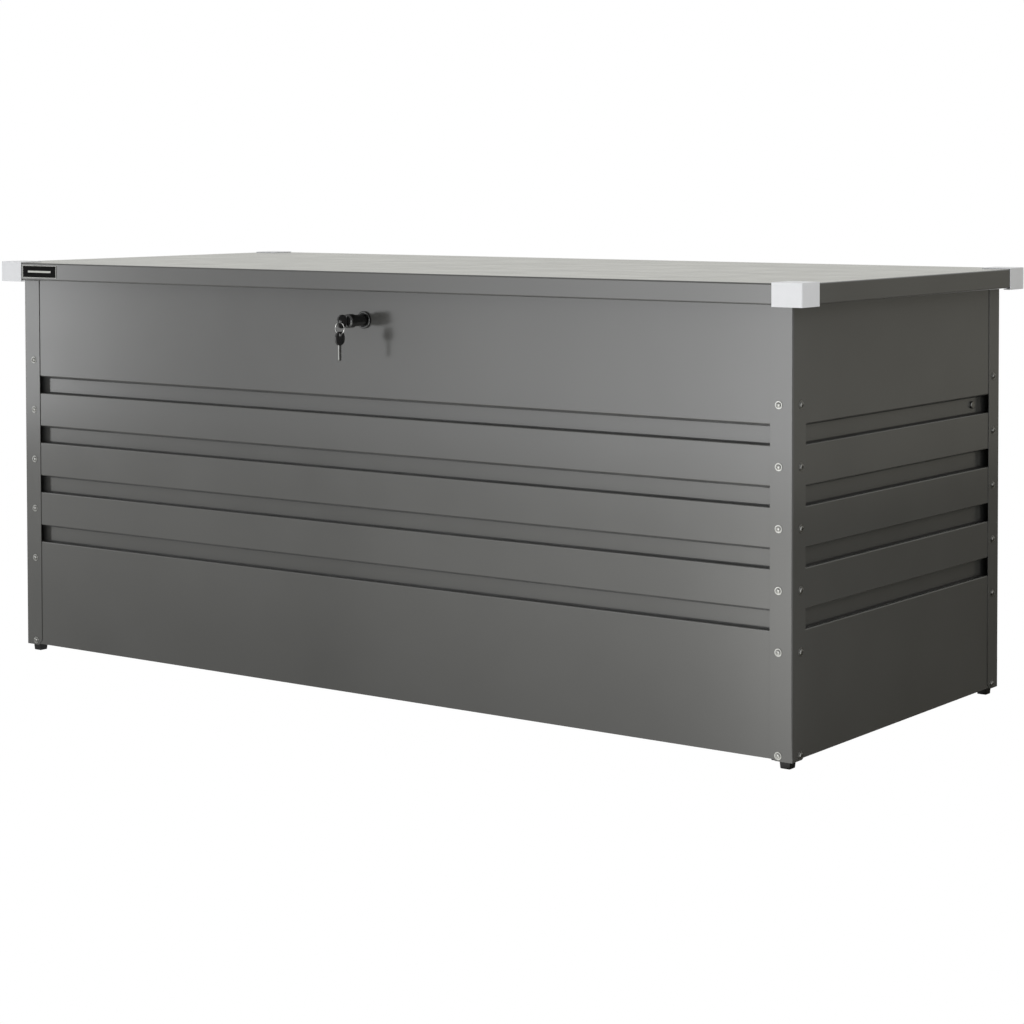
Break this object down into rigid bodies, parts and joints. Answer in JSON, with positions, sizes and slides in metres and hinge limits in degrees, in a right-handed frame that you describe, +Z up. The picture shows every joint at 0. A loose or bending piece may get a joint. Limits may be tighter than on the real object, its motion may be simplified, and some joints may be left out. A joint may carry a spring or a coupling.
{
  "type": "deck storage box",
  "caption": "Long sheet-metal garden chest with grooved walls, corner posts, strut-held hinged lid and a key lock.",
  "frame": {"origin": "on the ground, under the middle of the whole box with its inserted key", "axes": "+X along the length to the right of someone facing the lock, -Y to the front, +Z up"},
  "size_m": [1.65, 0.7786, 0.706],
  "materials": {
    "anthracite_coat": "semi-gloss powder coat",
    "zinc_steel": "bright zinc plate",
    "silver_plastic": "silver-grey moulded",
    "black_plastic": "moulded",
    "strut_paint": "satin black",
    "bright_rod": "polished",
    "lock_black": "gloss black plate",
    "key_steel": "nickel"
  },
  "bodies": {
    "box": {"post_front_right": "anthracite_coat", "post_front_left": "anthracite_coat", "post_back_right": "anthracite_coat", "post_back_left": "anthracite_coat", "foot_front_right": "black_plastic", "foot_front_left": "black_plastic", "foot_back_right": "black_plastic", "foot_back_left": "black_plastic", "wall_front": "anthracite_coat", "wall_back": "anthracite_coat", "wall_left": "anthracite_coat", "wall_right": "anthracite_coat", "rail_front": "anthracite_coat", "rail_back": "anthracite_coat", "rail_left": "anthracite_coat", "rail_right": "anthracite_coat", "rail_rivets": "zinc_steel", "floor_left": "anthracite_coat", "floor_right": "anthracite_coat", "floor_bearers": "anthracite_coat", "post_screws": "zinc_steel", "post_nuts": "zinc_steel", "hinge_wall_leaves": "anthracite_coat", "hinge_pins": "zinc_steel", "hinge_wall_rivets": "zinc_steel", "strut_stud_left": "zinc_steel", "strut_stud_right": "zinc_steel", "lock_body": "lock_black", "lock_nut": "zinc_steel"},
    "lid": {"lid_skin": "anthracite_coat", "cap_front_right": "silver_plastic", "cap_front_left": "silver_plastic", "cap_back_right": "silver_plastic", "cap_back_left": "silver_plastic", "lid_stiffeners": "anthracite_coat", "badge_plate": "black_plastic", "hinge_lid_leaves": "anthracite_coat", "hinge_lid_rivets": "zinc_steel", "strut_lid_bracket_left": "anthracite_coat", "strut_lid_bracket_right": "anthracite_coat", "lid_keeper": "anthracite_coat"},
    "strut_tube_left": {"strut_tube_left": "strut_paint", "strut_tube_socket_left": "black_plastic"},
    "strut_tube_right": {"strut_tube_right": "strut_paint", "strut_tube_socket_right": "black_plastic"},
    "strut_rod_left": {"strut_rod_left": "bright_rod", "strut_rod_socket_left": "black_plastic"},
    "strut_rod_right": {"strut_rod_right": "bright_rod", "strut_rod_socket_right": "black_plastic"},
    "lock_plug": {"lock_plug": "lock_black", "lock_cam": "zinc_steel", "cam_screw": "zinc_steel"},
    "key": {"key_bow_inserted": "black_plastic", "key_blade_inserted": "key_steel"},
    "key_ring": {"key_ring": "bright_rod"},
    "spare_key": {"key_bow_spare": "black_plastic", "key_blade_spare": "key_steel"}
  },
  "joints": [
    {"name": "lid_hinge", "type": "hinge", "parent": "box", "child": "lid", "pos_m": [0, 0.37535, 0.675], "axis": [-1, 0, 0], "range_deg": [0, 75]},
    {"name": "strut_left_swing", "type": "hinge", "parent": "box", "child": "strut_tube_left", "pos_m": [-0.758, 0.28435, 0.4842], "axis": [-1, 0, 0], "range_deg": [0, 26.83]},
    {"name": "strut_left_slide", "type": "slide", "parent": "strut_tube_left", "child": "strut_rod_left", "axis": [0, -0.2889, 0.9573], "range_m": [0, 0.13648]},
    {"name": "strut_right_swing", "type": "hinge", "parent": "box", "child": "strut_tube_right", "pos_m": [0.758, 0.28435, 0.4842], "axis": [-1, 0, 0], "range_deg": [0, 26.83]},
    {"name": "strut_right_slide", "type": "slide", "parent": "strut_tube_right", "child": "strut_rod_right", "axis": [0, -0.2889, 0.9573], "range_m": [0, 0.13648]},
    {"name": "lock_turn", "type": "hinge", "parent": "box", "child": "lock_plug", "pos_m": [0, -0.36145, 0.6256], "axis": [0, 1, 0], "range_deg": [0, 90]},
    {"name": "key_pull", "type": "slide", "parent": "lock_plug", "child": "key", "axis": [0, -1, 0], "range_m": [0, 0.03]},
    {"name": "ring_swing", "type": "hinge", "parent": "key", "child": "key_ring", "pos_m": [0, -0.37835, 0.6256], "axis": [1, 0, 0], "range_deg": [-80, 18]},
    {"name": "spare_swing", "type": "hinge", "parent": "key_ring", "child": "spare_key", "pos_m": [0, -0.37835, 0.6042], "axis": [1, 0, 0], "range_deg": [-40, 40]}
  ],
  "couplings": [
    {"joint": "strut_left_swing", "follows": "lid_hinge", "ratio": 0.35708},
    {"joint": "strut_left_slide", "follows": "lid_hinge", "m_per_rad": 0.10411},
    {"joint": "strut_right_swing", "follows": "lid_hinge", "ratio": 0.35708},
    {"joint": "strut_right_slide", "follows": "lid_hinge", "m_per_rad": 0.10411}
  ]
}
